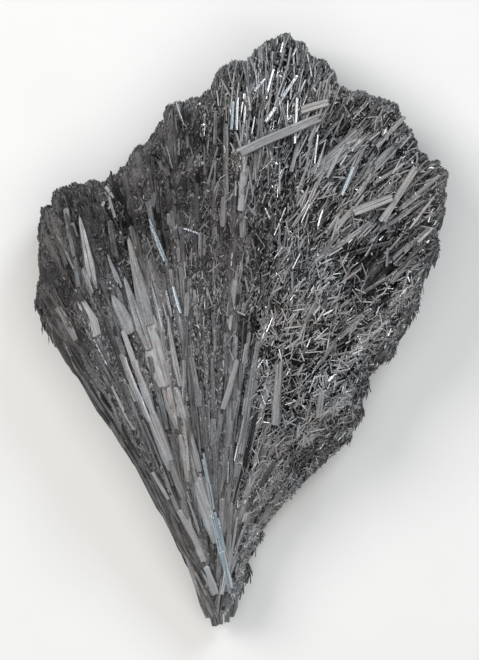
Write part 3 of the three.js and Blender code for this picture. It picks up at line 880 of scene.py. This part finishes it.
middle_splinters = lay(
    "middle_splinters", seed=50, count=12000, where=in_middle, u_range=(0.15, 0.7), t_range=(0.3, 0.9),
    spread=40, length=(0.3, 1.2), width=(0.14, 0.3), tone=(0.62, 0.26), film_add=0.1, relief=0.3,
)
middle_needles = lay(
    "middle_needles", seed=51, count=1800, where=in_middle, u_range=(0.15, 0.7), t_range=(0.3, 0.9),
    spread=26, length=(0.8, 2.8), width=(0.16, 0.36), tone=(0.68, 0.24), lift=0.2, pitch=(2, 12),
    section=needle, glints=0.15,
)
crust_splinters = lay(
    "crust_splinters", seed=52, count=11000, where=on_crust, u_range=(0.02, 0.42), t_range=(0.5, 1),
    spread=40, length=(0.3, 1), width=(0.16, 0.36), flat=(0.6, 1), tone=(0.46, 0.18), lift=-0.08, roll=60,
    glints=0.03, relief=0.3,
)
crust_stubs = lay(
    "crust_stubs", seed=53, count=500, where=on_crust, u_range=(0.02, 0.42), t_range=(0.5, 1), spread=26,
    length=(0.6, 2.4), width=(0.35, 0.9), flat=(0.6, 1), tone=(0.42, 0.16), lift=0.05, pitch=(2, 12),
    roll=60, section=needle, ends=(0.9, 0.8), glints=0.04,
)

# ---- Rim and flanks ----
# The side of the fan shows the blunt ends of the crystals that make up the body. Down the flanks they lie
# along the edge, and fine splinters fill the corner between the side and the open face.
flank_shares = np.linspace(0, 0.98, 40)
border = np.vstack([point_at(0.0, flank_shares), rim_line])
border_length = lengths_along(border)
left_heading = heading_at(0.0, flank_shares)[0]
rim_heading = heading_at(rim_lengths / rim_lengths[-1], np.ones(len(rim_line)))[0]
border_heading = np.concatenate([left_heading, rim_heading])
border_tangent = unit(np.gradient(border, axis=0))


def stand_on_side(name, seed, count, s_range, spread, length, width, flat, tone, follow, section,
                  levels=(0.05, 0.95), pitch=6.0, out=0.1, roll=40, glints=0.0):
    """Crystals on the side of the fan.

    s_range is the part of the border they stand on, from the root up the left side and round the rim, and
    levels the part of its height. They lie along the edge where follow is 1, and reach past it by out.
    """
    rng = np.random.default_rng(seed)
    s = rng.uniform(*s_range, count) * border_length[-1]
    bx, by, tx, ty, heading = (
        np.interp(s, border_length, v) for v in (*border.T, *border_tangent.T, border_heading)
    )
    level = rng.uniform(*levels, count)
    crest = crest_height(bx + ty * 2, by - tx * 2)
    above = level > waist_share
    share = np.where(above, (level - waist_share) / (1 - waist_share), 1 - level / waist_share)
    curve = 1 - np.sqrt(1 - np.clip(share, 0, 1) ** 2 + 1e-9)
    depth = np.where(above, bevel_width(bx, by), foot_width) * curve
    x, y = bx + ty * depth, by - tx * depth
    z = np.maximum(level * crest, 0.8)
    up_edge = np.where(s < border_length[len(flank_shares)], 1, -1) * np.stack([tx, ty])
    gap = (np.arctan2(*up_edge) - heading + np.pi) % (2 * np.pi) - np.pi
    heading = heading + follow * gap + np.radians(rng.normal(0, spread, count))
    climb = np.radians(mix(-3.0, 14.0, level) + rng.normal(0, pitch, count))
    level_part = np.cos(climb)
    along = unit(np.stack([np.sin(heading) * level_part, np.cos(heading) * level_part, np.sin(climb)], -1))
    long = drawn(rng, length, count)
    wide = drawn(rng, width, count)
    reach = mix(1.0, 0.5, follow) * long - rng.uniform(-0.3, out, count)
    reach = np.minimum(reach, np.hypot(x - root_tip[0], y - root_tip[1]) * 0.9)
    start = np.stack([x, y, z], -1) - along * reach[:, None]
    film = np.clip(film_at(x, y) + 0.25 + rng.normal(0, 0.12, count), 0, 1)
    # A share of glints lose most of their film; where it falls below 0 they take the painted blue-white
    # sheen as well as a fresh metal face.
    film -= np.where(rng.uniform(0, 1, count) < glints, 0.75, 0)
    shade = np.clip(rng.normal(*tone, count), 0, 1)
    turned = rng.normal(0, 1, count) * np.radians(roll) + (1.0 if follow > 0.5 else 0.0)
    thick = wide * rng.uniform(*flat, count)
    return crystals(name, start, along, long, wide, thick, turned, shade, film, section, seed + 1)


rim_ends = stand_on_side(
    "rim_ends", seed=61, count=4200, s_range=(0.19, 0.76), spread=8, length=(1.0, 3.2), width=(0.45, 1.3),
    flat=(0.6, 1), tone=(0.38, 0.2), follow=0, section=needle,
)
left_flank = stand_on_side(
    "left_flank", seed=63, count=560, s_range=(0.035, 0.2), spread=3, length=(4, 14), width=(0.5, 1.4),
    flat=(0.35, 0.6), tone=(0.36, 0.16), follow=0.3, section=flat_lath, pitch=2, out=-0.2, roll=20,
)
right_flank = stand_on_side(
    "right_flank", seed=65, count=2600, s_range=(0.7, 1), spread=14, length=(0.8, 2.4), width=(0.22, 0.55),
    flat=(0.5, 0.9), tone=(0.42, 0.24), follow=0.8, section=needle, pitch=8, out=-0.3, glints=0.25,
)


def near_edge(x, y):
    return smooth(4.0, 1.0, edge_distance(x, y))


edge_splinters = lay(
    "edge_splinters", seed=67, count=26000, where=near_edge, t_range=(0, 1), spread=34, length=(0.4, 1.4),
    width=(0.2, 0.5), flat=(0.6, 1), tone=(0.4, 0.2), pitch=(0, 14), roll=60, over=0.5, relief=0.25,
)
side_splinters = stand_on_side(
    "side_splinters", seed=69, count=16000, s_range=(0.2, 0.8), spread=13, length=(0.8, 2.6),
    width=(0.25, 0.6), flat=(0.6, 1), tone=(0.42, 0.2), follow=0, section=splinter, levels=(0.03, 0.85),
    pitch=14,
)

# ---- Back ----
# Coarse flattened blades under the fan, which run out from the root side by side. They are grown on to
# the body, and the spray rests on them.
rng = np.random.default_rng(71)
count = 1100
u = rng.uniform(0.0, 1.0, count)
t = np.sqrt(rng.uniform(0.01, 0.8, count))
heading, path = heading_at(u, t)
long = np.minimum(rng.uniform(8, 24, count), 0.8 * path)
t = np.clip(t, (long / 2) / path, 1 - (long / 2) / path)
heading = heading_at(u, t)[0] + np.radians(rng.normal(0, 3, count))
x, y = point_at(u, t).T
rise = np.clip(slope(low_map, x, y, heading, 3.0), -0.4, 0.5)
along = unit(np.stack([np.sin(heading), np.cos(heading), rise], -1))
edge_margin = 1.2
inner = np.ones(count, bool)
for share in (-0.5, 0.5):
    end_x, end_y = x + share * long * np.sin(heading), y + share * long * np.cos(heading)
    inner &= edge_distance(end_x, end_y) > edge_margin
x, y, long, along = (v[inner] for v in (x, y, long, along))
count = len(x)
wide = rng.uniform(0.7, 2.0, count)
thick = wide * rng.uniform(0.35, 0.6, count)
z = sample(low_map, x, y) + 0.62 * thick + rng.uniform(0.03, 0.5, count)
start = np.stack([x, y, z], -1) - along * (long / 2)[:, None]
roll = np.radians(rng.normal(0, 8, count))
tone = np.clip(rng.normal(0.45, 0.16, count), 0, 1)
film = np.clip(rng.normal(0.45, 0.15, count), 0, 1)
back_blades = crystals("back_blades", start, along, long, wide, thick, roll, tone, film, flat_lath, 72)

# ---- Cross laths ----
# Loose flat crystals of stibnite that lie across the grain, each a few strands wide with broken ends.
# Each is as long, wide and deep as its solid and lies in its place.
strand_pitch = 0.45
# The slender lath's film is below 0, so it takes part of the painted blue-white sheen.
for seed, (node, tone, film, slot) in enumerate((
    ("long_cross_lath", 0.7, 0.42, "stibnite"), ("short_cross_lath", 0.75, 0.3, "bright_stibnite"),
    ("slender_cross_lath", 1.0, -0.1, "bright_stibnite"), ("right_cross_lath", 0.68, 0.4, "bright_stibnite"),
    ("steep_cross_lath", 0.66, 0.42, "bright_stibnite"), ("middle_upright_lath", 0.62, 0.42, "stibnite"),
    ("lower_upright_lath", 0.8, 0.35, "stibnite"),
), start=81):
    corners, centre, ways = loose_lath(node)
    spans = (corners - centre) @ ways.T
    low, high = spans.min(0), spans.max(0)
    length, width, depth = high - low
    middle = centre + ((low + high) / 2) @ ways
    many = max(2, round(width / strand_pitch))
    numbers = np.arange(many)
    rng = np.random.default_rng(seed)
    offsets = (numbers - (many - 1) / 2) * width / many
    long = length * rng.uniform(0.86, 0.97, many)
    slide = (length - long) * rng.uniform(-0.45, 0.45, many)
    along = np.repeat(ways[:1], many, 0)
    feet = middle + offsets[:, None] * ways[1] + (slide - long / 2)[:, None] * ways[0]
    feet += np.where(numbers % 2, 0.02, -0.02)[:, None] * ways[2]
    wide = np.full(many, width / many * 1.5)
    thick = np.full(many, depth * 0.9)
    level = unit(np.cross(ways[0], (0, 0, 1.0)))
    tilt = np.full(many, np.arctan2(ways[1] @ np.cross(level, ways[0]), ways[1] @ level))
    shade = np.clip(rng.normal(tone, 0.04, many), 0, 1)
    film = np.full(many, film)
    lath = crystals(
        node + "_strands", feet, along, long, wide, thick, tilt, shade, film, flat_lath, seed,
        ends=(0.9, 0.85),
    )
    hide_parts(node)
